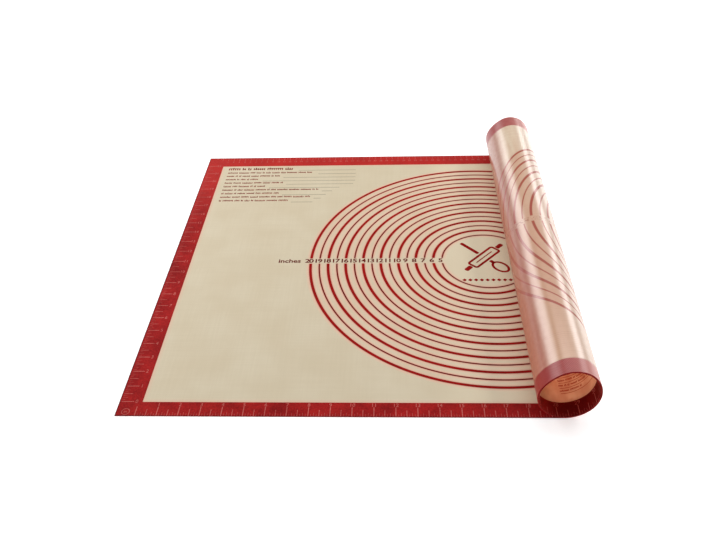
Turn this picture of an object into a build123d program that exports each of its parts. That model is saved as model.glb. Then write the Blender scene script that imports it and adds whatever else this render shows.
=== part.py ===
from build123d import *
import math
import os

os.makedirs("parts", exist_ok=True)

# A large pastry and baking mat of silicone on glass cloth, with its right-hand end rolled up over the flat part.
# The sheet is a laminate of three layers, and its print stands on the upper face: a border frame and
# sixteen measuring rings, an inch apart in diameter. Rolling up carries the print inside the roll.
# X runs along the length towards the roll, Y across the mat, Z up. Millimetres.

# The sheet as it was cut
mat_length = 914.4
mat_width = 609.6
under_coat_thick = 0.25
cloth_thick = 0.20
upper_coat_thick = 0.25
ink_thick = 0.10

# The roll: what stays flat before it, the bends of its first turn, and the clear gap between its wraps
flat_run = 518.5
roll_radius = 38.0
wrap_gap = 0.60
bend_angles = (90, 45, 45, 30, 30, 30)
bend_radius_shares = (1.0, 1.0, 0.79, 0.79, 1.42, 0.79)
tuck_angles = (45, 45)

# The print: its clearance from the coat, how far it lies off the middle of the cut sheet, along it and across,
# the frame, and the rings, which grow by one pitch each
print_clearance = 0.02
print_shift = 2.2
print_shift_across = -3.8
border_width = 25.8
smallest_ring_diameter = 127.0
ring_pitch = 25.4
ring_margin = 23.0
bold_line = 3.8
fine_line = 1.9
number_row_gap = 12.8

# How finely the roll is divided into arcs, each arc into facets of the rings' print, and a ring along its curve
longest_arc_angle = 22.5
facets_per_arc = 3
ring_facet_angle = 7.5
facets_per_loft = 6

sheet_thick = under_coat_thick + cloth_thick + upper_coat_thick
wrap_pitch = sheet_thick + ink_thick + wrap_gap
neutral_height = sheet_thick / 2
print_low = sheet_thick + print_clearance
print_high = sheet_thick + ink_thick
ring_centre = mat_length / 2 + print_shift
roll_foot = flat_run - ring_centre
row_edge = number_row_gap / 2
rolled_length = mat_length - flat_run


def end_of_bend(start, heading, radius, angle):
    # A bend turns up and to the left: its centre is square to the heading.
    centre_x = start[0] - radius * math.sin(heading)
    centre_z = start[1] + radius * math.cos(heading)
    end_x = centre_x + radius * math.sin(heading + angle)
    end_z = centre_z - radius * math.cos(heading + angle)
    return (end_x, end_z), (centre_x, centre_z)


def end_of_bends(angles, radii):
    point, heading = (0, 0), 0
    for angle, radius in zip(angles, radii):
        point, centre = end_of_bend(point, heading, radius, angle)
        heading = heading + angle
    return point


def first_turn():
    # The last two bends tuck the sheet under itself, so that it comes down one pitch above where it rose.
    # Their radii follow from the two equations of that landing point.
    angles = [math.radians(angle) for angle in bend_angles + tuck_angles]
    radii = [roll_radius * share for share in bend_radius_shares]
    short_x, short_z = end_of_bends(angles, radii + [0, 0])
    first_x, first_z = end_of_bends(angles, [0] * len(radii) + [1, 0])
    last_x, last_z = end_of_bends(angles, [0] * len(radii) + [0, 1])
    need_x, need_z = -short_x, wrap_pitch - short_z
    scale = first_x * last_z - last_x * first_z
    first_radius = (need_x * last_z - last_x * need_z) / scale
    last_radius = (first_x * need_z - need_x * first_z) / scale
    return angles, radii + [first_radius, last_radius]


def wind_up():
    # Each turn has the first turn's centres, and radii one pitch smaller than the turn outside it.
    # A bend is laid as equal arcs, so that every layer and print is divided at the same places.
    angles, radii = first_turn()
    arcs, done, turn = [], 0, 0
    while rolled_length - done > 0:
        point, heading = (flat_run, turn * wrap_pitch), 0
        for angle, radius in zip(angles, radii):
            wound_radius = radius - turn * wrap_pitch
            neutral_radius = wound_radius - neutral_height
            count = math.ceil(angle / math.radians(longest_arc_angle))
            for index in range(count):
                swept = min(angle / count, (rolled_length - done) / neutral_radius)
                if swept <= 0:
                    break
                point, centre = end_of_bend(point, heading, wound_radius, swept)
                arcs.append((flat_run + done, centre, wound_radius, heading, swept))
                done = done + swept * neutral_radius
                heading = heading + swept
        turn = turn + 1
    return arcs


roll_arcs = wind_up()


def place(along, across, height):
    # Where a point of the flat sheet lies, at a height above its underside, once the sheet is rolled up.
    if along <= flat_run:
        return Vector(along, across, height)
    arc = [arc for arc in roll_arcs if arc[0] <= along][-1]
    start, centre, radius, heading, swept = arc
    turned = heading + (along - start) / (radius - neutral_height)
    reach = radius - height
    return Vector(centre[0] + reach * math.sin(turned), across, centre[1] - reach * math.cos(turned))


def spans_between(from_along, to_along):
    # The stretches of the sheet between two places on it: the flat one and one for each arc.
    starts = [0] + [arc[0] for arc in roll_arcs] + [mat_length]
    spans = []
    for start, end in zip(starts[:-1], starts[1:]):
        low, high = max(start, from_along), min(end, to_along)
        if high > low:
            spans.append((low, high))
    return spans


def layer(from_along, to_along, from_across, to_across, low, high):
    # A piece of the sheet between two heights, which follows the roll.
    edges = []
    for height in (low, high):
        for start, end in spans_between(from_along, to_along):
            a = place(start, from_across, height)
            b = place(end, from_across, height)
            if start < flat_run:
                edges.append(Edge.make_line(a, b))
            else:
                middle = place((start + end) / 2, from_across, height)
                edges.append(Edge.make_three_point_arc(a, middle, b))
    for along in (from_along, to_along):
        edges.append(Edge.make_line(place(along, from_across, low), place(along, from_across, high)))
    outline = Wire.combine(edges)[0]
    return Solid.extrude(Face(outline), Vector(0, to_across - from_across, 0))


def border_frame():
    # One print of four bands: two follow the sheet's whole length, two join them across its ends.
    half = mat_width / 2
    near_inner = border_width - half + print_shift_across
    far_inner = half - border_width + print_shift_across
    left_end = border_width + print_shift
    right_start = mat_length - border_width + print_shift
    near = layer(0, mat_length, -half, near_inner, print_low, print_high)
    far = layer(0, mat_length, far_inner, half, print_low, print_high)
    left = layer(0, left_end, near_inner, far_inner, print_low, print_high)
    rolled_in = layer(right_start, mat_length, near_inner, far_inner, print_low, print_high)
    return near.fuse(far, left, rolled_in).clean()


def ring_on_flat(inner, outer):
    # The stretch of one half of a ring that lies flat: from the foot of the roll round to the row of numbers.
    count = math.ceil(180 / ring_facet_angle)
    edges = []
    for edge in (inner, outer):
        row_turn = math.asin(row_edge / edge)
        foot_turn = math.acos(min(roll_foot / edge, math.cos(row_turn)))
        sweep = math.pi - row_turn - foot_turn
        turns = [foot_turn + sweep * index / count for index in range(count + 1)]
        edges.append([(ring_centre + edge * math.cos(turn), edge * math.sin(turn)) for turn in turns])
    corners = edges[0] + edges[1][::-1]
    outline = Wire.make_polygon([Vector(along, across, print_low) for along, across in corners], close=True)
    return Solid.extrude(Face(outline), Vector(0, 0, print_high - print_low))


def facet_edges():
    # Where the print's flat facets meet on the roll: each arc is divided evenly.
    edges = []
    for start, centre, radius, heading, swept in roll_arcs:
        length = swept * (radius - neutral_height)
        edges += [start + length * index / facets_per_arc for index in range(facets_per_arc)]
    return edges + [mat_length]


def place_print(along, across, height):
    # A point of a flat facet: on the straight line between the facet edges to either side of it.
    before = [edge for edge in facet_edges() if edge <= along][-1]
    after = [edge for edge in facet_edges() if edge > along][0]
    share = (along - before) / (after - before)
    return place(before, across, height) * (1 - share) + place(after, across, height) * share


def ring_cuts(inner, outer):
    # Where a half ring is cut square to the mat's length, from the foot of the roll to the row of numbers:
    # at the edges of the facets, and between them in even steps round its inner edge, then its outer one.
    inner_end = math.sqrt(inner ** 2 - row_edge ** 2)
    outer_end = math.sqrt(outer ** 2 - (row_edge + fine_line) ** 2)
    places = [edge - ring_centre for edge in facet_edges()]
    stops = sorted([inner_end, outer_end] + [place for place in places if roll_foot < place < outer_end])
    cuts = [roll_foot]
    for stop in stops:
        edge = inner if stop <= inner_end else outer
        from_turn, to_turn = math.acos(cuts[-1] / edge), math.acos(stop / edge)
        count = math.ceil((from_turn - to_turn) / math.radians(ring_facet_angle))
        turns = [from_turn + (to_turn - from_turn) * (index + 1) / count for index in range(count)]
        cuts += [edge * math.cos(turn) for turn in turns]
    return cuts


def ring_on_roll(inner, outer):
    # The stretch that goes up the roll, inside it: flat facets between cross-sections square to the length.
    # A few facets at a time are lofted, each time from the last cross-section before.
    sections = []
    for cut in ring_cuts(inner, outer):
        near_edge = math.sqrt(max(inner ** 2 - cut ** 2, row_edge ** 2))
        far_edge = math.sqrt(outer ** 2 - cut ** 2)
        corners = [(near_edge, print_low), (far_edge, print_low), (far_edge, print_high), (near_edge, print_high)]
        along = flat_run + cut - roll_foot
        points = [place_print(along, across, height) for across, height in corners]
        sections.append(Wire.make_polygon(points, close=True))
    starts = range(0, len(sections) - 1, facets_per_loft)
    return [Solid.make_loft(sections[start:start + facets_per_loft + 1], ruled=True) for start in starts]


def measuring_ring(diameter, line):
    # Two half rings, broken at the row of numbers on both sides, and moved to the middle of the print.
    inner, outer = (diameter - line) / 2, (diameter + line) / 2
    far_half = ring_on_flat(inner, outer)
    if roll_foot < math.sqrt(inner ** 2 - row_edge ** 2):
        far_half = far_half.fuse(*ring_on_roll(inner, outer)).solid()
    to_print_middle = Location((0, print_shift_across, 0))
    return Compound([half.moved(to_print_middle) for half in (far_half, far_half.mirror(Plane.XZ))])


def least_gap_between_wraps():
    # Measured on points: from each wrap's printed face to the underside of the wrap inside it.
    step = math.radians(1)
    faces = []
    for height in (0, print_high):
        points = []
        for start, centre, radius, heading, swept in roll_arcs:
            count = max(1, round(swept / step))
            for index in range(count):
                along = start + swept * index / count * (radius - neutral_height)
                points.append(place(along, 0, height))
        faces.append(points)
    under, printed = faces
    half_turn = math.pi * roll_radius
    spacing = rolled_length / len(under)
    apart = int(half_turn / spacing)
    gaps = []
    for index, point in enumerate(printed):
        gaps += [(point - other).length for other in under[index + apart:]]
    return min(gaps)


pieces = {
    "under_coat": layer(0, mat_length, -mat_width / 2, mat_width / 2, 0, under_coat_thick),
    "glass_cloth": layer(
        0, mat_length, -mat_width / 2, mat_width / 2,
        under_coat_thick, under_coat_thick + cloth_thick,
    ),
    "upper_coat": layer(
        0, mat_length, -mat_width / 2, mat_width / 2,
        under_coat_thick + cloth_thick, sheet_thick,
    ),
    "border_frame": border_frame(),
}

# Rings go up to the largest that leaves the margin inside the frame, even ones bold and odd ones fine.
largest_ring_diameter = mat_width - 2 * (border_width + ring_margin)
ring_count = 1 + int((largest_ring_diameter - smallest_ring_diameter) / ring_pitch)
for index in range(ring_count):
    diameter = smallest_ring_diameter + index * ring_pitch
    number = round(diameter / ring_pitch)
    pieces[f"ring_{number:02d}_inch"] = measuring_ring(diameter, fine_line if number % 2 else bold_line)

# The origin is the middle of the footprint, on the surface that the mat lies on.
footprint = pieces["under_coat"].bounding_box()
to_origin = Location((-(footprint.min.X + footprint.max.X) / 2, 0, 0))
for name, piece in pieces.items():
    export_step(piece.moved(to_origin), f"parts/{name}.step")

first_turn_radii = [round(radius, 1) for radius in first_turn()[1]]
print(f"roll: {len(roll_arcs)} arcs, {rolled_length:.1f} mm of sheet, first turn's radii {first_turn_radii}")
print(f"least gap between wraps: {least_gap_between_wraps():.2f} mm")
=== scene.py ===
import math
import random
import bpy
from mathutils import Matrix, Vector


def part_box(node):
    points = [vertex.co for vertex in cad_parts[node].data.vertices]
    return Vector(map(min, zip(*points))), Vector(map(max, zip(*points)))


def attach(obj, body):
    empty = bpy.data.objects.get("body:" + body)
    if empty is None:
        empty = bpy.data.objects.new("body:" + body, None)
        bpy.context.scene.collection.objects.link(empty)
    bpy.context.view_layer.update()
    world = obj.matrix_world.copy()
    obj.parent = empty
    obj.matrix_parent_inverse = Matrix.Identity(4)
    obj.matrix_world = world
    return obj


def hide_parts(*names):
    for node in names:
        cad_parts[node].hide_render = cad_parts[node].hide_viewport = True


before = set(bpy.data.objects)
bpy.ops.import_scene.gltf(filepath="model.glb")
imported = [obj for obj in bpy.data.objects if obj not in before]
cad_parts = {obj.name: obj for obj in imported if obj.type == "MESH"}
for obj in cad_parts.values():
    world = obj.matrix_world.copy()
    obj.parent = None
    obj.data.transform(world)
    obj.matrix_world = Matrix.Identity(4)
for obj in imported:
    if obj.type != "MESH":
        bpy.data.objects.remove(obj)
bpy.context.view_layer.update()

# A pastry and baking mat of silicone on glass cloth, partly rolled up. Each layer and each print is laid out
# flat in millimetres on the uncut sheet: x along it from the left end, y across it from the middle, z up from
# its underside. rollUp then lays it in the frame, in metres.
mm = 0.001

matValues = {
    "length": 914.4, "width": 609.6,
    "underCoat": 0.25, "cloth": 0.20, "upperCoat": 0.25, "ink": 0.10,  # thicknesses
    "flatRun": 518.5, "rollRadius": 38.0, "wrapGap": 0.60,
    "bendAngles": (90, 45, 45, 30, 30, 30), "bendRadiusShares": (1.0, 1.0, 0.79, 0.79, 1.42, 0.79),
    "tuckAngles": (45, 45),  # the last bends of the first turn, whose radii are worked out
    "columnWidth": 2.0, "rowWidth": 40.0,  # how finely the sheet is divided before it is rolled
    "uprightNormal": 0.5,  # a face whose normal rises less than this is a cut side
    "smoothAngle": 35.0,  # corners sharper than this stay sharp
}
length, width = matValues["length"], matValues["width"]
sheetThick = matValues["underCoat"] + matValues["cloth"] + matValues["upperCoat"]
wrapPitch = sheetThick + matValues["ink"] + matValues["wrapGap"]
neutralHeight = sheetThick / 2
inch = 25.4
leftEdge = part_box("under_coat")[0][0]  # where the sheet's left end lies in the frame


def endOfBend(start, heading, radius, angle):
    centre = (start[0] - radius * math.sin(heading), start[1] + radius * math.cos(heading))
    turned = heading + angle
    return (centre[0] + radius * math.sin(turned), centre[1] - radius * math.cos(turned)), centre


def endOfBends(angles, radii):
    point, heading = (0, 0), 0
    for angle, radius in zip(angles, radii):
        point = endOfBend(point, heading, radius, angle)[0]
        heading += angle
    return point


def firstTurn():
    angles = [math.radians(angle) for angle in matValues["bendAngles"] + matValues["tuckAngles"]]
    radii = [matValues["rollRadius"] * share for share in matValues["bendRadiusShares"]]
    short = endOfBends(angles, radii + [0, 0])
    first = endOfBends(angles, [0] * len(radii) + [1, 0])
    last = endOfBends(angles, [0] * len(radii) + [0, 1])
    need = (-short[0], wrapPitch - short[1])  # the turn comes down one pitch above where it rose
    scale = first[0] * last[1] - last[0] * first[1]
    firstRadius = (need[0] * last[1] - last[0] * need[1]) / scale
    lastRadius = (first[0] * need[1] - need[0] * first[1]) / scale
    return angles, radii + [firstRadius, lastRadius]


def windUp():
    angles, radii = firstTurn()
    bends, done, turn = [], 0, 0
    while length - matValues["flatRun"] > done:
        point, heading = (matValues["flatRun"], turn * wrapPitch), 0
        for angle, radius in zip(angles, radii):
            radius -= turn * wrapPitch
            end, centre = endOfBend(point, heading, radius, angle)
            bends.append((matValues["flatRun"] + done, centre, radius, heading))
            done += angle * (radius - neutralHeight)
            point, heading = end, heading + angle
        turn += 1
    return bends


rollBends = windUp()
bendsInTurn = len(matValues["bendAngles"] + matValues["tuckAngles"])
insideRoll = rollBends[bendsInTurn][0]  # along the sheet, where the second turn starts


def place(along, across, height):  # millimetres on the flat sheet to metres in the frame
    x, z = along, height
    if along > matValues["flatRun"]:
        start, centre, radius, heading = [bend for bend in rollBends if bend[0] <= along][-1]
        turned = heading + (along - start) / (radius - neutralHeight)
        x = centre[0] + (radius - height) * math.sin(turned)
        z = centre[1] - (radius - height) * math.cos(turned)
    return Vector((leftEdge + x * mm, across * mm, z * mm))


def selectOnly(*pieces):
    if bpy.context.mode != "OBJECT":
        bpy.ops.object.mode_set(mode="OBJECT")
    bpy.ops.object.select_all(action="DESELECT")
    for piece in pieces:
        piece.select_set(True)
    bpy.context.view_layer.objects.active = pieces[0]


def applyModifier(piece, kind, **settings):
    selectOnly(piece)
    modifier = piece.modifiers.new(kind.title(), kind)
    for name, value in settings.items():
        setattr(modifier, name, value)
    bpy.ops.object.modifier_apply(modifier=modifier.name)


def joinPieces(pieces):
    selectOnly(*pieces)
    if len(pieces) > 1:
        bpy.ops.object.join()
    bpy.ops.object.transform_apply(location=True, rotation=True, scale=True)
    return bpy.context.view_layer.objects.active


def cutForRoll(piece):  # divides what lies on the roll, so that it bends with the sheet
    reach = [vertex.co.x for vertex in piece.data.vertices]
    along = max(min(reach), matValues["flatRun"])
    selectOnly(piece)
    bpy.ops.object.mode_set(mode="EDIT")
    while along < max(reach):
        bpy.ops.mesh.select_all(action="SELECT")
        bpy.ops.mesh.bisect(plane_co=(along, 0, 0), plane_no=(1, 0, 0))
        along += matValues["columnWidth"]
    bpy.ops.object.mode_set(mode="OBJECT")


def rollUp(piece):
    for vertex in piece.data.vertices:
        vertex.co = place(*vertex.co)


def finishPiece(piece, name, material, replaced=None):
    rollUp(piece)
    piece.name = piece.data.name = name
    piece.data.materials.clear()
    piece.data.materials.append(material)
    selectOnly(piece)
    bpy.ops.object.shade_smooth_by_angle(angle=math.radians(matValues["smoothAngle"]))
    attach(piece, "root")
    if replaced:
        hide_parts(replaced)


# Materials

def linear(colour):  # an sRGB hex value as linear colour
    shares = [int(colour[at:at + 2], 16) / 255 for at in (1, 3, 5)]
    return tuple(s / 12.92 if s <= 0.04045 else ((s + 0.055) / 1.055) ** 2.4 for s in shares) + (1.0,)


def addNode(tree, kind, inputs=None, **settings):  # an input is a number, a colour or another node's output
    node = tree.nodes.new("ShaderNode" + kind)
    for name, value in settings.items():
        setattr(node, name, value)
    for name, value in (inputs or {}).items():
        if isinstance(value, bpy.types.NodeSocket):
            tree.links.new(value, node.inputs[name])
        else:
            node.inputs[name].default_value = value
    return node


def startMaterial(name, **settings):
    material = bpy.data.materials.new(name)
    material.use_nodes = True
    tree = material.node_tree
    shader = tree.nodes["Principled BSDF"]
    for socket, value in settings.items():
        shader.inputs[socket.replace("_", " ")].default_value = value
    return material, tree, shader


def mixColour(tree, mask, most, under, over):  # over lies on under where the mask is 1, at its most
    part = addNode(tree, "Math", {0: mask, 1: most}, operation="MULTIPLY").outputs[0]
    return addNode(tree, "Mix", {"Factor": part, 6: under, 7: over}, data_type="RGBA").outputs[2]


def ramp(tree, value, start, end):  # 0 at start to 1 at end, smoothly
    return addNode(tree, "MapRange", {"Value": value, "From Min": start, "From Max": end},
                   interpolation_type="SMOOTHSTEP").outputs[0]


noiseRange = (0.3, 0.7)  # of the noise's values, spread over the whole of a streak's mask


def streaks(tree, spot, sizeAlong, sizeAcross):  # slow random changes, drawn out one way
    scale = (1 / sizeAlong, 1 / sizeAcross, 1.0)
    stretched = addNode(tree, "Mapping", {"Vector": spot, "Scale": scale}).outputs[0]
    noise = addNode(tree, "TexNoise", {"Vector": stretched, "Scale": 1.0, "Detail": 2.0}).outputs[0]
    return ramp(tree, noise, *noiseRange)


printValues = {
    "shiftAlong": 2.2, "shiftAcross": -3.8,  # how far the print lies off the middle of the sheet
    "band": 25.8,  # of the frame
    "low": 0.70, "high": 0.80, "tickLow": 0.78, "tickHigh": 0.84,  # heights of the ink and of the ticks in it
}
printMiddle = (length / 2 + printValues["shiftAlong"], printValues["shiftAcross"])
frameHalf = (length / 2 - printValues["band"], width / 2 - printValues["band"])  # of the opening in the frame
frameEnds = (printMiddle[0] - frameHalf[0], printMiddle[0] + frameHalf[0])  # left and right
frameSides = (printMiddle[1] - frameHalf[1], printMiddle[1] + frameHalf[1])  # near and far
ringValues = {
    "smallest": 5, "largest": 20,  # diameters in inches
    "bold": 3.8, "fine": 1.9, "numberRow": 12.8,  # widths of the lines and of the gap at the numbers
    "facetLength": 3.0,  # of a ring's outline
}
weaveValues = {
    "threadPitch": 1.3,  # real glass yarns lie about 0.5 mm apart, too fine to show, so drawn coarser
    "coatDent": 0.010, "clothDent": 0.06,  # how deep the yarns show, in millimetres
    "blotch": 60.0,  # size of the slow changes of the coat's colour
    "slub": (90.0, 2.2),  # length and width of a thick yarn's trace
    "weftPitch": 3.2,  # every few weft yarns lie closer and show as a line round the roll
    "intoRoll": 25.0,  # how far before the second turn the look of the roll's inside begins
}
showThroughValues = {
    "blur": 0.7,  # of the print's edges, seen through the sheet
    "speck": 3.5, "speckRange": (0.48, 0.6),  # the numbers show as specks of this size
    "rowEdge": (1.0, 3.0),  # inward from the edge of the numbers' row, where the specks begin
    "blushEdge": (12.0, -4.0),  # outward from the largest ring, where the blush of the rings begins
    "countSlack": 0.1,  # so that the first and the last ring count too
}


def sheetPlace(tree, middle=printMiddle):  # in millimetres on the flat sheet, from the print's middle
    flat = addNode(tree, "UVMap", uv_map="flat").outputs["UV"]
    start = (-middle[0], -width / 2 - middle[1], 0)
    return addNode(tree, "VectorMath", {0: flat, 1: (length, width, 1), 2: start},
                   operation="MULTIPLY_ADD").outputs[0]


def insideMask(tree, spot):  # 1 on what lies inside the roll
    parts = addNode(tree, "SeparateXYZ", {0: spot})
    inside = insideRoll - printMiddle[0]
    return ramp(tree, parts.outputs["X"], inside - weaveValues["intoRoll"], inside)


def weave(tree, spot):  # plain weave: the warp over and the weft under, changing place at each yarn
    perYarn = (math.pi / weaveValues["threadPitch"],) * 3
    turned = addNode(tree, "VectorMath", {0: spot, 1: perYarn}, operation="MULTIPLY").outputs[0]
    parts = addNode(tree, "SeparateXYZ", {0: turned})
    warp = addNode(tree, "Math", {0: parts.outputs["X"]}, operation="SINE").outputs[0]
    weft = addNode(tree, "Math", {0: parts.outputs["Y"]}, operation="SINE").outputs[0]
    product = addNode(tree, "Math", {0: warp, 1: weft}, operation="MULTIPLY").outputs[0]
    return addNode(tree, "MapRange", {"Value": product, "From Min": -1.0, "From Max": 1.0}).outputs[0]


def offMiddle(tree, spot):  # how far from the print's middle: along, across and straight
    parts = addNode(tree, "SeparateXYZ", {0: spot})
    alongOff = addNode(tree, "Math", {0: parts.outputs["X"]}, operation="ABSOLUTE").outputs[0]
    acrossOff = addNode(tree, "Math", {0: parts.outputs["Y"]}, operation="ABSOLUTE").outputs[0]
    flatSpot = addNode(tree, "CombineXYZ", {"X": parts.outputs["X"], "Y": parts.outputs["Y"]}).outputs[0]
    reach = addNode(tree, "VectorMath", {0: flatSpot}, operation="LENGTH").outputs["Value"]
    return alongOff, acrossOff, reach


def nearestRing(tree, reach):  # its number, how far off its line, and 1 if it is one of those printed
    inches = addNode(tree, "Math", {0: reach, 1: 2 / inch}, operation="MULTIPLY").outputs[0]
    nearest = addNode(tree, "Math", {0: inches}, operation="ROUND").outputs[0]
    short = addNode(tree, "Math", {0: inches, 1: nearest}, operation="SUBTRACT").outputs[0]
    inchesOff = addNode(tree, "Math", {0: short}, operation="ABSOLUTE").outputs[0]
    offLine = addNode(tree, "Math", {0: inchesOff, 1: inch / 2}, operation="MULTIPLY").outputs[0]
    middle = (ringValues["smallest"] + ringValues["largest"]) / 2
    span = ringValues["largest"] - middle + showThroughValues["countSlack"]
    counted = addNode(tree, "Math", {0: nearest, 1: middle, 2: span}, operation="COMPARE").outputs[0]
    return nearest, offLine, counted


def ringMask(tree, spot, blur):  # 1 on the lines of the rings
    acrossOff, reach = offMiddle(tree, spot)[1:]
    nearest, offLine, counted = nearestRing(tree, reach)
    odd = addNode(tree, "Math", {0: nearest, 1: 2.0}, operation="MODULO").outputs[0]
    bold, fine = ringValues["bold"] / 2, ringValues["fine"] / 2
    half = addNode(tree, "Math", {0: odd, 1: fine - bold, 2: bold}, operation="MULTIPLY_ADD").outputs[0]
    inside = addNode(tree, "Math", {0: half, 1: offLine}, operation="SUBTRACT").outputs[0]
    line = ramp(tree, inside, -blur, blur)
    row = ringValues["numberRow"] / 2
    offRow = ramp(tree, acrossOff, row - blur, row + blur)
    broken = addNode(tree, "Math", {0: counted, 1: offRow}, operation="MULTIPLY").outputs[0]
    return addNode(tree, "Math", {0: line, 1: broken}, operation="MULTIPLY").outputs[0]


def numberMask(tree, spot):  # specks along the row of the rings' numbers
    acrossOff, reach = offMiddle(tree, spot)[1:]
    counted = nearestRing(tree, reach)[2]
    start, end = [ringValues["numberRow"] / 2 - edge for edge in showThroughValues["rowEdge"]]
    row = ramp(tree, acrossOff, start, end)
    inRow = addNode(tree, "Math", {0: counted, 1: row}, operation="MULTIPLY").outputs[0]
    grain = {"Vector": spot, "Scale": 1 / showThroughValues["speck"], "Detail": 1.0}
    speck = ramp(tree, addNode(tree, "TexNoise", grain).outputs[0], *showThroughValues["speckRange"])
    return addNode(tree, "Math", {0: inRow, 1: speck}, operation="MULTIPLY").outputs[0]


def bandMask(tree, spot, blur):  # 1 on the printed frame
    alongOff, acrossOff = offMiddle(tree, spot)[:2]
    ends = ramp(tree, alongOff, frameHalf[0] - blur, frameHalf[0] + blur)
    sides = ramp(tree, acrossOff, frameHalf[1] - blur, frameHalf[1] + blur)
    return addNode(tree, "Math", {0: ends, 1: sides}, operation="MAXIMUM").outputs[0]


def blushMask(tree, spot):  # 1 within the largest ring, where all the rings together tint the sheet
    reach = offMiddle(tree, spot)[2]
    start, end = [inch * ringValues["largest"] / 2 + edge for edge in showThroughValues["blushEdge"]]
    return ramp(tree, reach, start, end)


upperValues = {
    "glow": 7.0,  # how far the coat picks up red beside the print
    "bleed": 2.0,  # how far the ink has bled past a ring's line
    "smudge": (14.0, 22.0),  # size of the traces of the wraps behind, along and across
    "paintedLightAtMouth": (32.0, 5.0),  # inward from the frame, where painted light pales the inside, as if getting in at the roll's mouth
    "paintedLightBesideRoll": (360.0, 440.0),  # along the sheet, where painted light brightens the flat, as if thrown back by the roll
}


def makeUpperSilicone():
    # Silicone rubber, knife coated on the cloth and cured: warm cream, satin, with the yarns just showing.
    # its emission is a painted glow, given only inside the roll
    material, tree, shader = startMaterial("coatedSiliconeCream", Roughness=0.46, IOR=1.41,
                                           Emission_Strength=0.38)
    spot = sheetPlace(tree)
    yarn = weave(tree, spot)
    rings = ringMask(tree, spot, upperValues["glow"])
    bleed = ringMask(tree, spot, upperValues["bleed"])
    band = bandMask(tree, spot, upperValues["glow"])
    inRoll = insideMask(tree, spot)
    blotch = streaks(tree, spot, weaveValues["blotch"], weaveValues["blotch"])
    parts = addNode(tree, "SeparateXYZ", {0: spot})
    slubLong, slubWide = weaveValues["slub"]
    cream = mixColour(tree, blotch, 1.0, linear("#D7C8AB"), linear("#DDD0B5"))
    cream = mixColour(tree, streaks(tree, spot, slubLong, slubWide), 0.2, cream, linear("#CDBEA0"))
    cream = mixColour(tree, streaks(tree, spot, slubWide, slubLong), 0.2, cream, linear("#CDBEA0"))
    start, end = [edge - printMiddle[0] for edge in upperValues["paintedLightBesideRoll"]]
    # painted light: the flat beside the roll made brighter, as if the roll threw its light back on it
    cream = mixColour(tree, ramp(tree, parts.outputs["X"], start, end), 0.9, cream, linear("#F3E4C5"))
    yarned = mixColour(tree, yarn, 0.25, cream, linear("#C4B698"))
    glowing = mixColour(tree, rings, 1.0, yarned, linear("#FFB098"))  # the coat picks up red beside a ring
    bled = mixColour(tree, bleed, 1.0, glowing, linear("#A4241C"))  # and the ink has bled past its line
    smudge = streaks(tree, spot, *upperValues["smudge"])
    warm = mixColour(tree, smudge, 0.6, linear("#DE9E74"), linear("#B4522E"))  # the wraps behind show through, in an orange of painted light as if lit through the sheet
    deep, near = upperValues["paintedLightAtMouth"]
    paintedMouthLight = ramp(tree, parts.outputs["Y"], deep - frameHalf[1], near - frameHalf[1])
    # painted light, paler towards the roll's mouth
    warm = mixColour(tree, paintedMouthLight, 0.15, warm, linear("#F0CCA4"))
    warmed = mixColour(tree, inRoll, 1.0, bled, warm)  # painted light: the inside of the roll is coloured as if lit through the sheet
    edged = mixColour(tree, band, 0.8, warmed, linear("#F0A890"))  # and beside the frame
    tree.links.new(edged, shader.inputs["Base Color"])
    # painted glow: the inside of the roll gives off its colour as light, as if lit through the sheet, but not
    # beside the frame
    paintedGlow = mixColour(tree, inRoll, 1.0, linear("#000000"), warm)
    tree.links.new(mixColour(tree, band, 1.0, paintedGlow, linear("#000000")), shader.inputs["Emission Color"])
    bump = addNode(tree, "Bump", {"Height": yarn, "Distance": weaveValues["coatDent"] * mm, "Strength": 1.0})
    tree.links.new(bump.outputs[0], shader.inputs["Normal"])
    return material


underValues = {
    "paintedShadeSide": (646.0, 669.0),  # painted shade where the roll's side turns to the mat, reddened as a painted reflection of it
    "paintedHighlightSide": (640.0, 606.0),  # painted highlight, from the top of the roll to its outer side
    "nearWarmth": (-260.0, 240.0),  # across the sheet, from warm to pale
    "streak": (9.0, 90.0), "weftPatch": (40.0, 6.0),  # sizes of slow changes, along and across
    "fleck": (5.0, 9.0), "inkPatch": (7.0, 7.0),
}


def underMasks(tree, spot):  # from near to far, painted shade on the roll's side to the mat, and painted highlight on its outer side
    parts = addNode(tree, "SeparateXYZ", {0: spot})
    coolness = ramp(tree, parts.outputs["Y"], *underValues["nearWarmth"])
    shade = [along - printMiddle[0] for along in underValues["paintedShadeSide"]]
    pale = [along - printMiddle[0] for along in underValues["paintedHighlightSide"]]
    return coolness, ramp(tree, parts.outputs["X"], *shade), ramp(tree, parts.outputs["X"], *pale)


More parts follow.
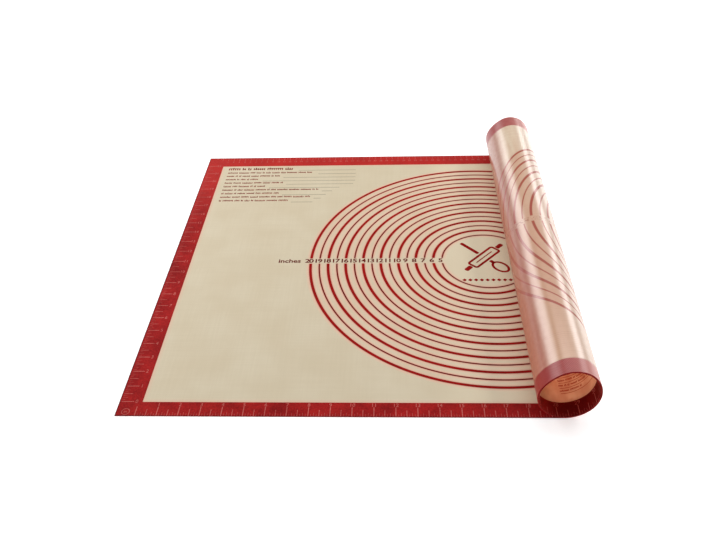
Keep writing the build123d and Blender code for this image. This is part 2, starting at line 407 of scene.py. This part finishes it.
def makeUnderSilicone():
    # The same rubber on the other face: paler and glossier, and thin enough for the print to show through it.
    material, tree, shader = startMaterial("coatedSiliconePale", Roughness=0.27, IOR=1.68,
                                           Specular_IOR_Level=1.0)
    spot = sheetPlace(tree)
    parts = addNode(tree, "SeparateXYZ", {0: spot})
    yarn = weave(tree, spot)
    rings = ringMask(tree, spot, showThroughValues["blur"])
    band = bandMask(tree, spot, showThroughValues["blur"])
    coolness, side, outer = underMasks(tree, spot)
    plain = mixColour(tree, coolness, 1.0, linear("#D6A584"), linear("#EAD4B8"))
    streak = streaks(tree, spot, *underValues["streak"])
    pale = mixColour(tree, streak, 0.35, plain, linear("#D2A080"))
    blushed = mixColour(tree, blushMask(tree, spot), 0.5, pale, linear("#D69C7E"))
    # painted highlight on the roll's outer side
    blushed = mixColour(tree, outer, 0.6, blushed, linear("#FBE8D8"))
    weft = addNode(tree, "Math", {0: parts.outputs["Y"], 1: 2 * math.pi / weaveValues["weftPitch"]},
                   operation="MULTIPLY").outputs[0]
    weft = ramp(tree, addNode(tree, "Math", {0: weft}, operation="SINE").outputs[0], 0.0, 1.0)
    uneven = streaks(tree, spot, *underValues["weftPatch"])
    weft = addNode(tree, "Math", {0: weft, 1: uneven}, operation="MULTIPLY").outputs[0]
    lined = mixColour(tree, weft, 0.28, blushed, linear("#BC866C"))
    # painted shade on the roll's side to the mat, red as a painted reflection of the mat
    paintedShadeRed = mixColour(tree, coolness, 1.0, linear("#B05236"), linear("#A8624C"))
    shaded = mixColour(tree, side, 0.82, lined, paintedShadeRed)
    # darker flecks, only within the painted shade
    fleck = streaks(tree, spot, *underValues["fleck"])
    flecks = addNode(tree, "Math", {0: side, 1: fleck}, operation="MULTIPLY").outputs[0]
    shaded = mixColour(tree, flecks, 0.25, shaded, linear("#A04430"))
    ringed = mixColour(tree, rings, 0.88, shaded, linear("#A42A08"))
    ringed = mixColour(tree, numberMask(tree, spot), 0.5, ringed, linear("#9A3C2A"))
    banded = mixColour(tree, band, 0.97, ringed, linear("#A03C3A"))
    tree.links.new(banded, shader.inputs["Base Color"])
    bump = addNode(tree, "Bump", {"Height": yarn, "Distance": weaveValues["coatDent"] * mm, "Strength": 1.0})
    tree.links.new(bump.outputs[0], shader.inputs["Normal"])
    return material


def makeUnderPrint():
    # The same face over the printed frame: the ink behind looks deep red, with the pale yarns showing in it.
    material, tree, shader = startMaterial("coatedSiliconeOverInk", Roughness=0.31, IOR=1.48,
                                           Specular_IOR_Level=0.5)
    spot = sheetPlace(tree)
    coolness, side, outer = underMasks(tree, spot)
    red = mixColour(tree, coolness, 1.0, linear("#A43836"), linear("#A8504C"))
    patchy = mixColour(tree, streaks(tree, spot, *underValues["inkPatch"]), 0.35, red, linear("#8A2422"))
    mottled = mixColour(tree, weave(tree, spot), 0.45, patchy, linear("#C88480"))
    # painted highlight on the roll's outer side
    mottled = mixColour(tree, outer, 0.6, mottled, linear("#E4A69C"))
    # painted shade on the roll's side to the mat
    shaded = mixColour(tree, side, 0.92, mottled, linear("#98120A"))
    tree.links.new(shaded, shader.inputs["Base Color"])
    return material


def makeGlassCloth():
    # Woven glass yarn between the coats: matt, and off white.
    material, tree, shader = startMaterial("wovenGlassCloth", Roughness=0.7, IOR=1.5)
    spot = sheetPlace(tree)
    yarn = weave(tree, spot)
    woven = mixColour(tree, yarn, 1.0, linear("#D9CFB8"), linear("#F1EADB"))
    tree.links.new(woven, shader.inputs["Base Color"])
    bump = addNode(tree, "Bump", {"Height": yarn, "Distance": weaveValues["clothDent"] * mm})
    tree.links.new(bump.outputs[0], shader.inputs["Normal"])
    return material


inkValues = {
    "grain": 1.6, "patch": 35.0,  # sizes of the fine and of the slow changes of colour
    "noiseRange": (0.7, 1.3),  # of both noises together, from dark to light
    "dent": 0.01,  # depth of the fine grain
    "paintedLightFarSide": (60.0, 260.0),  # across the sheet, where painted light brightens the frame's ink
    "cutEdge": 1.4,  # how far painted shade darkens the frame's ink beside the cut
}


def cutEdge(tree):  # 1 beside the sheet's cut edges
    spot = sheetPlace(tree, (length / 2, 0))
    off = addNode(tree, "VectorMath", {0: spot}, operation="ABSOLUTE").outputs[0]
    corner = (length / 2, width / 2, 1)
    left = addNode(tree, "VectorMath", {0: corner, 1: off}, operation="SUBTRACT").outputs[0]
    parts = addNode(tree, "SeparateXYZ", {0: left})
    least = addNode(tree, "Math", {0: parts.outputs["X"], 1: parts.outputs["Y"]}, operation="MINIMUM")
    return ramp(tree, least.outputs[0], inkValues["cutEdge"], inkValues["cutEdge"] / 2)


def makeInk(name, dark, light, roughness, edged=False):
    # Silicone ink, screen printed and cured: soft and matt, uneven where the mesh laid it over the yarns.
    material, tree, shader = startMaterial(name, Roughness=roughness, IOR=1.42, Specular_IOR_Level=0.06)
    spot = addNode(tree, "TexCoord").outputs["Object"]
    grainScale, patchScale = 1 / (inkValues["grain"] * mm), 1 / (inkValues["patch"] * mm)
    grain = addNode(tree, "TexNoise", {"Vector": spot, "Scale": grainScale, "Detail": 2.0}).outputs[0]
    patch = addNode(tree, "TexNoise", {"Vector": spot, "Scale": patchScale, "Detail": 2.0}).outputs[0]
    both = addNode(tree, "Math", {0: grain, 1: patch}, operation="ADD").outputs[0]
    start, end = inkValues["noiseRange"]
    share = addNode(tree, "MapRange", {"Value": both, "From Min": start, "From Max": end}).outputs[0]
    colour = mixColour(tree, share, 1.0, linear(dark), linear(light))
    if edged:  # the frame: painted light along the far side, painted shade inside the roll and beside the cut
        flatSpot = sheetPlace(tree)
        parts = addNode(tree, "SeparateXYZ", {0: flatSpot})
        paintedLightFarSide = ramp(tree, parts.outputs["Y"], *inkValues["paintedLightFarSide"])
        colour = mixColour(tree, paintedLightFarSide, 0.45, colour, linear("#D03C36"))
        colour = mixColour(tree, insideMask(tree, flatSpot), 0.5, colour, linear("#4A0A0C"))
        colour = mixColour(tree, cutEdge(tree), 0.8, colour, linear("#4A0A0C"))
    tree.links.new(colour, shader.inputs["Base Color"])
    bump = addNode(tree, "Bump", {"Height": grain, "Distance": inkValues["dent"] * mm})
    tree.links.new(bump.outputs[0], shader.inputs["Normal"])
    return material


creamCoat = makeUpperSilicone()
paleCoat = makeUnderSilicone()
overPrint = makeUnderPrint()
glassCloth = makeGlassCloth()
cutSide = makeInk("knifeCutEdge", "#981E1C", "#B83430", 0.7)  # dyed red where the print was cut through
frameInk = makeInk("screenPrintedRed", "#801012", "#B22220", 0.5, edged=True)
ringInk = makeInk("screenPrintedDarkRed", "#8A0C0A", "#A61410", 0.5)
fineRingInk = makeInk("screenPrintedDeepRed", "#640404", "#7A0606", 0.5)  # thinner lines dry darker
numberInk = makeInk("screenPrintedMaroon", "#580C0A", "#701612", 0.5)
tableInk = makeInk("screenPrintedOrangeRed", "#C43A20", "#D85030", 0.5)
noteInk = makeInk("screenPrintedBrownRed", "#84200F", "#982C1C", 0.5)
ruleInk = makeInk("screenPrintedGrey", "#9C927C", "#ACA38C", 0.5)
tickInk = makeInk("bareCoatInPrint", "#B04A44", "#D2746C", 0.5)
print("materials made")


# The three layers of the sheet

def makeLayer(name, low, high, material, replaced):
    columns, rows = round(length / matValues["columnWidth"]), round(width / matValues["rowWidth"])
    bpy.ops.mesh.primitive_grid_add(x_subdivisions=columns, y_subdivisions=rows, size=1)
    piece = bpy.context.active_object
    bpy.ops.object.mode_set(mode="EDIT")
    bpy.ops.mesh.select_all(action="SELECT")
    bpy.ops.transform.resize(value=(length, width, 1))
    bpy.ops.transform.translate(value=(length / 2, 0, low))
    for across in frameSides:
        bpy.ops.mesh.select_all(action="SELECT")
        bpy.ops.mesh.bisect(plane_co=(0, across, 0), plane_no=(0, 1, 0))
    bpy.ops.object.mode_set(mode="OBJECT")
    piece.data.uv_layers[0].name = "flat"
    applyModifier(piece, "SOLIDIFY", thickness=high - low, offset=1.0)
    near, far = frameSides
    coatSlot, cutSlot, printSlot = 0, 1, 2  # of the piece's materials
    finishes = []
    for face in piece.data.polygons:
        atCut = abs(face.normal.z) < matValues["uprightNormal"]
        underFrame = replaced == "under_coat" and not near < face.center.y < far
        finishes.append(cutSlot if atCut else printSlot if underFrame else coatSlot)
    finishPiece(piece, name, material, replaced)
    piece.data.materials.append(cutSide)
    piece.data.materials.append(overPrint)
    piece.data.polygons.foreach_set("material_index", finishes)
    return piece


def makeSheet():
    clothLow = matValues["underCoat"]
    clothHigh = clothLow + matValues["cloth"]
    under = makeLayer("underCoat", 0, clothLow, paleCoat, "under_coat")
    cloth = makeLayer("glassCloth", clothLow, clothHigh, glassCloth, "glass_cloth")
    upper = makeLayer("upperCoat", clothHigh, sheetThick, creamCoat, "upper_coat")
    return under, cloth, upper


underCoat, cloth, upperCoat = makeSheet()
print("sheet made")


# The printed frame and its rulers

def makeFrame():
    columns = round(length / matValues["columnWidth"])
    bpy.ops.mesh.primitive_grid_add(x_subdivisions=columns, y_subdivisions=2, size=1)
    piece = bpy.context.active_object
    piece.data.uv_layers[0].name = "flat"
    (leftEnd, rightEnd), (nearEnd, farEnd) = frameEnds, frameSides
    bpy.ops.object.mode_set(mode="EDIT")
    bpy.ops.mesh.select_all(action="SELECT")
    bpy.ops.transform.resize(value=(length, width, 1))
    bpy.ops.transform.translate(value=(length / 2, 0, printValues["low"]))
    cuts = [((leftEnd, 0, 0), (1, 0, 0)), ((rightEnd, 0, 0), (1, 0, 0)),
            ((0, nearEnd, 0), (0, 1, 0)), ((0, farEnd, 0), (0, 1, 0))]
    for point, normal in cuts:
        bpy.ops.mesh.select_all(action="SELECT")
        bpy.ops.mesh.bisect(plane_co=point, plane_no=normal)
    bpy.ops.mesh.select_all(action="DESELECT")
    bpy.ops.object.mode_set(mode="OBJECT")
    for face in piece.data.polygons:
        face.select = leftEnd < face.center.x < rightEnd and nearEnd < face.center.y < farEnd
    bpy.ops.object.mode_set(mode="EDIT")
    bpy.ops.mesh.select_mode(type="FACE")
    bpy.ops.mesh.delete(type="FACE")
    bpy.ops.object.mode_set(mode="OBJECT")
    applyModifier(piece, "SOLIDIFY", thickness=printValues["high"] - printValues["low"], offset=1.0)
    finishPiece(piece, "borderFrame", frameInk, "border_frame")


def makePlate(along, across, sizeAlong, sizeAcross, low, copies=1, step=(0.0, 0.0)):  # repeated by step
    bpy.ops.mesh.primitive_plane_add(size=1, location=(along, across, low))
    plate = bpy.context.active_object
    plate.scale = (sizeAlong, sizeAcross, 1)
    if copies > 1:
        applyModifier(plate, "ARRAY", count=copies, use_relative_offset=False, use_constant_offset=True,
                      constant_offset_displace=(step[0] / sizeAlong, step[1] / sizeAcross, 0))
    return plate


def thicken(plates, low, high):  # one piece of all the plates, raised from low to high
    piece = joinPieces(plates)
    cutForRoll(piece)
    applyModifier(piece, "SOLIDIFY", thickness=high - low, offset=1.0)
    return piece


textValues = {
    "capitalShare": 0.72,  # of the font's size
    "curveSteps": 3, "rulerWeight": 0.05, "rulerWide": 0.9,
}


def makeText(words, along, across, height, low, high, weight=0.0, wide=1.0, spacing=1.0):
    bpy.ops.object.text_add(location=(along, across, (low + high) / 2))
    piece = bpy.context.active_object
    piece.data.body = words
    piece.data.space_character = spacing
    piece.data.size = height / textValues["capitalShare"]
    piece.data.align_x, piece.data.align_y = "CENTER", "CENTER"
    piece.data.extrude = (high - low) / 2
    piece.data.resolution_u = textValues["curveSteps"]
    piece.data.offset = weight
    piece.scale.x = wide
    selectOnly(piece)
    bpy.ops.object.convert(target="MESH")
    return bpy.context.active_object


eighths = [(4, 0.7, 0.7)]
eighths += [(part, 0.38, 0.3) for part in (2, 6)]
eighths += [(part, 0.25, 0.3) for part in (1, 3, 5, 7)]
halves = [(5, 0.6, 0.35)]
rulerValues = {  # of each part: its number, its tick's share of the long tick's length, and its line
    "nearInch": {"side": "near", "unit": inch, "first": 1, "count": 34, "divisions": 8, "zero": 23.5,
                 "tick": (0.4, 14.5), "line": 1.0, "parts": eighths, "numberIn": 17.8, "numberHeight": 5.6},
    "leftInch": {"side": "left", "unit": inch, "first": 0, "count": 22, "divisions": 8, "zero": 22.5,
                 "tick": (2.6, 17.5), "line": 1.0, "parts": eighths, "numberIn": 20.8, "numberHeight": 5.6},
    "farCentimetre": {"side": "far", "unit": 10.0, "first": 1, "count": 86, "divisions": 10, "zero": 23.5,
                      "tick": (0.6, 10.5), "line": 0.6, "parts": halves, "numberIn": 15.0,
                      "numberHeight": 4.2},
    "rightCentimetre": {"side": "right", "unit": 10.0, "first": 0, "count": 56, "divisions": 10, "zero": 22.5,
                        "tick": (0.6, 10.5), "line": 0.6, "parts": halves, "numberIn": 15.0,
                        "numberHeight": 4.2},
}
unitMarkValues = {"place": (11.5, -298.3), "ring": 10.0, "line": 0.8, "height": 4.2, "ringSteps": 40}


def rulerSpot(side, reach, inward):  # along a ruler and inward from the sheet's edge, as along and across
    spots = {
        "near": (reach, inward - width / 2), "far": (reach, width / 2 - inward),
        "left": (inward, reach - width / 2), "right": (length - inward, reach - width / 2),
    }
    return spots[side]


def makeRuler(name, values):
    low, high = printValues["tickLow"], printValues["tickHigh"]
    side, unit = values["side"], values["unit"]
    lengthways = side in ("near", "far")
    step = (unit, 0) if lengthways else (0, unit)
    start, end = values["tick"]
    plates = []
    for part, share, line in [(0, 1.0, values["line"])] + values["parts"]:
        tickLength = (end - start) * share
        reach = values["zero"] + part * unit / values["divisions"]
        along, across = rulerSpot(side, reach, start + tickLength / 2)
        size = (line, tickLength) if lengthways else (tickLength, line)
        copies = values["count"] + 1 if part == 0 else values["count"]
        plates.append(makePlate(along, across, *size, low, copies, step))
    finishPiece(thicken(plates, low, high), name + "Ticks", tickInk)
    numbers = []
    for number in range(values["first"], values["count"] + 1):
        along, across = rulerSpot(side, values["zero"] + number * unit, values["numberIn"])
        numbers.append(makeText(str(number), along, across, values["numberHeight"], low, high,
                                textValues["rulerWeight"], textValues["rulerWide"]))
    finishPiece(joinPieces(numbers), name + "Numbers", tickInk)


def makeUnitMark():  # a ring round the short name of the unit, in the corner where the inch rulers meet
    low, high = printValues["tickLow"], printValues["tickHigh"]
    along, across = unitMarkValues["place"]
    line, outer = unitMarkValues["line"], unitMarkValues["ring"] / 2
    bpy.ops.mesh.primitive_circle_add(vertices=unitMarkValues["ringSteps"], radius=outer, fill_type="NGON",
                                      location=(along, across, low))
    ring = bpy.context.active_object
    bpy.ops.object.mode_set(mode="EDIT")
    bpy.ops.mesh.select_all(action="SELECT")
    bpy.ops.mesh.inset(thickness=line)
    bpy.ops.mesh.delete(type="FACE")
    bpy.ops.object.mode_set(mode="OBJECT")
    ring = thicken([ring], low, high)
    word = makeText("in", along, across, unitMarkValues["height"], low, high)
    finishPiece(joinPieces([ring, word]), "unitMark", tickInk)


makeFrame()
for rulerName, rulerSettings in rulerValues.items():
    makeRuler(rulerName, rulerSettings)
makeUnitMark()
print("frame and rulers made")


# The measuring rings and their numbers

def makeRing(number):
    line = ringValues["fine"] if number % 2 else ringValues["bold"]
    radius = number * inch / 2
    count = 4 * round(2 * math.pi * radius / ringValues["facetLength"] / 4)
    bpy.ops.mesh.primitive_circle_add(vertices=count, radius=radius - line / 2)
    piece = bpy.context.active_object
    bpy.ops.object.mode_set(mode="EDIT")
    bpy.ops.mesh.select_all(action="SELECT")
    bpy.ops.mesh.extrude_edges_move()
    grow = (radius + line / 2) / (radius - line / 2)
    bpy.ops.transform.resize(value=(grow, grow, 1))
    row = ringValues["numberRow"] / 2
    for across in (-row, row):
        bpy.ops.mesh.select_all(action="SELECT")
        bpy.ops.mesh.bisect(plane_co=(0, across, 0), plane_no=(0, 1, 0))
    bpy.ops.mesh.select_all(action="DESELECT")
    bpy.ops.object.mode_set(mode="OBJECT")
    for face in piece.data.polygons:
        face.select = abs(face.center.y) < row
    bpy.ops.object.mode_set(mode="EDIT")
    bpy.ops.mesh.select_mode(type="FACE")
    bpy.ops.mesh.delete(type="FACE")
    bpy.ops.mesh.select_all(action="SELECT")
    bpy.ops.mesh.normals_make_consistent(inside=False)
    bpy.ops.transform.translate(value=(*printMiddle, printValues["low"]))
    bpy.ops.object.mode_set(mode="OBJECT")
    if piece.data.polygons[0].normal.z < 0:
        piece.data.flip_normals()
    applyModifier(piece, "SOLIDIFY", thickness=printValues["high"] - printValues["low"], offset=1.0)
    ink = fineRingInk if number % 2 else ringInk
    finishPiece(piece, f"ring{number:02d}Inch", ink, f"ring_{number:02d}_inch")


numberValues = {
    "height": 8.8, "weight": 0.26, "wide": 1.14, "spacing": 0.82,  # bold figures, set close
    "outward": 2.3,  # from the ring's line to the middle of its number
    "wordGap": 31.2, "wordHeight": 8.6, "wordWide": 1.1,
}


def makeRingNumbers(name, side):
    low, high = printValues["low"], printValues["high"]
    weight, across = numberValues["weight"], printMiddle[1]
    texts = []
    for number in range(ringValues["smallest"], ringValues["largest"] + 1):
        along = printMiddle[0] + side * (number * inch / 2 + numberValues["outward"])
        texts.append(makeText(str(number), along, across, numberValues["height"], low, high, weight,
                              numberValues["wide"], numberValues["spacing"]))
    if side < 0:
        along = printMiddle[0] - ringValues["largest"] * inch / 2 - numberValues["wordGap"]
        texts.append(makeText("inches", along, across, numberValues["wordHeight"], low, high, weight,
                              numberValues["wordWide"]))
    piece = joinPieces(texts)
    cutForRoll(piece)
    finishPiece(piece, name, numberInk)


for ringNumber in range(ringValues["smallest"], ringValues["largest"] + 1):
    makeRing(ringNumber)
makeRingNumbers("leftRingNumbers", -1)
makeRingNumbers("rightRingNumbers", 1)
print("rings made")


# Rows of notes, kept as bare strokes that spell nothing, and the lines ruled after them

noteValues = {
    "left": 40.5, "top": 252.5, "rowPitch": 11.2,
    "rowEnds": (193, 134, 100, 141, 113, 203, 138, 191, 155),
    "letterHeight": 5.4, "headingEnd": 158.0, "headingAcross": 265.0, "headingHeight": 8.6,
    "wordLetters": (1, 4),  # half as many as a word has at least and at most
    "strokeShare": 0.22, "pitchShare": 0.42, "barShare": 0.2, "wordGapShare": 0.7,  # of the letters' height
    "uprightShare": 0.7, "barShiftShare": 0.28, "tallRiseShare": 0.3, "tallShare": 0.5,
    "ruleEnds": (261, 261, 261, 261, 258, 235.5, 223.8, 214.3, 206.9, 194.3),
    "ruleGap": 4.0, "rule": 1.3, "ruleDrop": 5.4, "low": 0.70, "high": 0.74, "seed": 5,
}
tableValues = {"left": 744.0, "top": -206.0, "rowPitch": 8.4, "rows": 8, "letterHeight": 3.4,
               "rowLengths": (26.0, 70.0), "line": 0.7, "lineLength": 96.0}


def strokeRow(left, end, across, height, draw):
    # Words of upright strokes, each word tied by a bar and with one tall stroke.
    low = noteValues["low"]
    stroke, pitch = height * noteValues["strokeShare"], height * noteValues["pitchShare"]
    bar, barShift = height * noteValues["barShare"], height * noteValues["barShiftShare"]
    upright, tall = height * noteValues["uprightShare"], height * noteValues["tallShare"]
    tallAcross = across + height * noteValues["tallRiseShare"]
    plates, along = [], left
    while along < end - 2 * pitch:
        letters = min(2 * draw.randint(*noteValues["wordLetters"]), int((end - along) / pitch))
        letters = max(letters, 2)
        wordLength = (letters - 1) * pitch
        plates.append(makePlate(along, across, stroke, upright, low, letters, (pitch, 0)))
        barAcross = across + draw.choice((-1, 0, 1)) * barShift
        plates.append(makePlate(along + wordLength / 2, barAcross, wordLength, bar, low))
        tallAlong = along + draw.randrange(letters) * pitch
        plates.append(makePlate(tallAlong, tallAcross, stroke, tall, low))
        along += wordLength + height * noteValues["wordGapShare"]
    return plates


def makeNotes():
    draw = random.Random(noteValues["seed"])
    left, low = noteValues["left"], noteValues["low"]
    letters = strokeRow(left, noteValues["headingEnd"], noteValues["headingAcross"],
                        noteValues["headingHeight"], draw)
    ruled = [(noteValues["headingEnd"], noteValues["headingAcross"])]
    for row, rowEnd in enumerate(noteValues["rowEnds"]):
        across = noteValues["top"] - row * noteValues["rowPitch"]
        letters += strokeRow(left, rowEnd, across, noteValues["letterHeight"], draw)
        ruled.append((rowEnd, across))
    rules = []
    for (rowEnd, across), ruleEnd in zip(ruled, noteValues["ruleEnds"]):
        start = rowEnd + noteValues["ruleGap"]
        rules.append(makePlate((start + ruleEnd) / 2, across - noteValues["ruleDrop"], ruleEnd - start,
                               noteValues["rule"], low))
    finishPiece(thicken(letters, low, noteValues["high"]), "noteRows", noteInk)
    finishPiece(thicken(rules, low, noteValues["high"]), "noteRules", ruleInk)


def makeTable():
    draw = random.Random(noteValues["seed"])
    low, high = noteValues["low"], noteValues["high"]
    left = tableValues["left"]
    letters, lines = [], []
    for row in range(tableValues["rows"]):
        across = tableValues["top"] - row * tableValues["rowPitch"]
        rowEnd = left + draw.uniform(*tableValues["rowLengths"])
        letters += strokeRow(left, rowEnd, across, tableValues["letterHeight"], draw)
        lines.append(makePlate(left + tableValues["lineLength"] / 2, across - tableValues["rowPitch"] / 2,
                               tableValues["lineLength"], tableValues["line"], low))
    finishPiece(thicken(letters, low, high), "tableRows", tableInk)
    finishPiece(thicken(lines, low, high), "tableRules", tableInk)


makeNotes()
makeTable()
print("note rows made")


# The mark in the middle: a rolling pin across a spoon, in outline, over a row of lozenges

markValues = {
    "centre": (457.0, 4.0), "line": 3.6, "low": 0.70, "high": 0.78,
    "pinBody": (58.0, 19.0), "pinHandle": (13.0, 7.0), "pinTurn": 48.0,
    "bowl": (30.0, 21.0), "stalk": 5.4, "spoonLength": 94.0, "spoonTurn": -48.0, "crossingGap": 2.0,
    "lozenge": 4.6, "lozengePitch": 8.0, "lozenges": 9, "lozengeRow": -50.0, "lozengeTurn": 45.0,
    "bodyRoundShare": 1 / 4, "handleRoundShare": 1 / 3, "stalkRoundShare": 1 / 3,  # of their widths
    "innerLineShort": 6, "handleGapShare": 1 / 4,  # of the line's width
    "roundSteps": 64, "cornerSteps": 6,
}


def outlineShape(kind, sizeAlong, sizeAcross, along, line, rounding=0.0):
    # Flat: a line round an open middle, or filled where the line is 0.
    if kind == "plate":
        bpy.ops.mesh.primitive_plane_add(size=1)
    else:
        bpy.ops.mesh.primitive_circle_add(vertices=markValues["roundSteps"], radius=0.5, fill_type="NGON")
    piece = bpy.context.active_object
    bpy.ops.object.mode_set(mode="EDIT")
    bpy.ops.mesh.select_all(action="SELECT")
    bpy.ops.transform.resize(value=(sizeAlong, sizeAcross, 1))
    bpy.ops.transform.translate(value=(along, 0, markValues["low"]))
    if rounding:
        bpy.ops.mesh.bevel(offset=rounding, segments=markValues["cornerSteps"], affect="VERTICES")
    if line:
        bpy.ops.mesh.select_all(action="SELECT")
        bpy.ops.mesh.inset(thickness=line)
        bpy.ops.mesh.delete(type="FACE")
    bpy.ops.object.mode_set(mode="OBJECT")
    return piece


def turnInPlace(piece, degrees, spot):
    turn = Matrix.Rotation(math.radians(degrees), 4, "Z")
    piece.data.transform(Matrix.Translation((*spot, 0)) @ turn)


def makeMark():
    line = markValues["line"]
    bodyLong, bodyWide = markValues["pinBody"]
    handleLong, handleWide = markValues["pinHandle"]
    handleRound = handleWide * markValues["handleRoundShare"]
    pin = [outlineShape("plate", bodyLong, bodyWide, 0, line, bodyWide * markValues["bodyRoundShare"])]
    pin.append(outlineShape("plate", bodyLong - markValues["innerLineShort"] * line, line / 2, 0, 0))
    for side in (-1, 1):
        reach = side * ((bodyLong + handleLong) / 2 + line * markValues["handleGapShare"])
        pin.append(outlineShape("plate", handleLong, handleWide, reach, 0, handleRound))
    spoonEnd = markValues["spoonLength"] / 2
    bowlLong, bowlWide = markValues["bowl"]
    stalk = markValues["stalk"]
    crossing = bodyWide / 2 / math.sin(math.radians(markValues["pinTurn"] - markValues["spoonTurn"]))
    crossing += markValues["crossingGap"]
    spoon = [outlineShape("round", bowlLong, bowlWide, spoonEnd - bowlLong / 2, line)]
    for start, end in ((-spoonEnd, -crossing), (crossing, spoonEnd - bowlLong + line / 2)):
        spoon.append(outlineShape("plate", end - start, stalk, (start + end) / 2, 0,
                                  stalk * markValues["stalkRoundShare"]))
    for parts, turn in ((pin, markValues["pinTurn"]), (spoon, markValues["spoonTurn"])):
        for part in parts:
            turnInPlace(part, turn, markValues["centre"])
    lozenges = []
    for number in range(markValues["lozenges"]):
        off = (number - (markValues["lozenges"] - 1) / 2) * markValues["lozengePitch"]
        lozenges.append(outlineShape("plate", markValues["lozenge"], markValues["lozenge"], 0, 0))
        spot = (markValues["centre"][0] + off, markValues["lozengeRow"])
        turnInPlace(lozenges[-1], markValues["lozengeTurn"], spot)
    mark = thicken(pin + spoon + lozenges, markValues["low"], markValues["high"])
    finishPiece(mark, "centreMark", ringInk)


makeMark()
print("centre mark made")


# Studio

studioValues = {
    "cameraPlace": (51.019, -920.807, 680.872), "pitch": 37.183, "yaw": -3.485, "roll": 2.367,
    "lens": 39.504, "sensor": 36.0,
    "floorSize": 12.0, "world": 0.12, "floorGlow": 0.48,
    "lights": (  # name, place, aim, size and power, in metres and watts
        ("leftStrip", (-1.4, 1.5, 1.0), (0.25, 1.5, 0.04), (5.0, 0.8), 40),
        ("rightStrip", (1.8, 1.5, 1.22), (0.25, 1.5, 0.04), (5.0, 0.85), 45),
        ("topBox", (0.3, 1.1, 2.2), (0.1, 0.4, 0), (2.5, 1.2), 22),
    ),
}


def makeCamera():
    camera = bpy.data.objects.new("camera", bpy.data.cameras.new("camera"))
    bpy.context.scene.collection.objects.link(camera)
    camera.data.lens, camera.data.sensor_width = studioValues["lens"], studioValues["sensor"]
    turn = (Matrix.Rotation(math.radians(-studioValues["yaw"]), 4, "Z")
            @ Matrix.Rotation(math.radians(90 - studioValues["pitch"]), 4, "X")
            @ Matrix.Rotation(math.radians(-studioValues["roll"]), 4, "Z"))
    camera.matrix_world = Matrix.Translation(Vector(studioValues["cameraPlace"]) * mm) @ turn
    bpy.context.scene.camera = camera


def makeLight(name, place, target, size, power):
    light = bpy.data.objects.new(name, bpy.data.lights.new(name, "AREA"))
    bpy.context.scene.collection.objects.link(light)
    light.data.shape = "RECTANGLE"
    light.data.size, light.data.size_y = size
    light.data.energy = power
    aim = Vector(target) - Vector(place)
    light.matrix_world = Matrix.Translation(Vector(place)) @ aim.to_track_quat("-Z", "Y").to_matrix().to_4x4()


def makeStudio():
    world = bpy.data.worlds.new("studio")
    bpy.context.scene.world = world
    world.use_nodes = True
    world.node_tree.nodes["Background"].inputs["Color"].default_value = linear("#FFFFFF")
    world.node_tree.nodes["Background"].inputs["Strength"].default_value = studioValues["world"]
    for light in studioValues["lights"]:
        makeLight(*light)
    bpy.ops.mesh.primitive_plane_add(size=studioValues["floorSize"])
    floor = bpy.context.active_object
    floor.name = "floor"
    material, tree, shader = startMaterial("paleFloor", Roughness=0.9)
    shader.inputs["Base Color"].default_value = linear("#F4F4F4")
    shader.inputs["Emission Color"].default_value = linear("#FFFFFF")
    shader.inputs["Emission Strength"].default_value = studioValues["floorGlow"]
    floor.data.materials.append(material)
    bpy.context.scene.view_settings.view_transform = "Standard"


makeStudio()
makeCamera()
print("studio made")
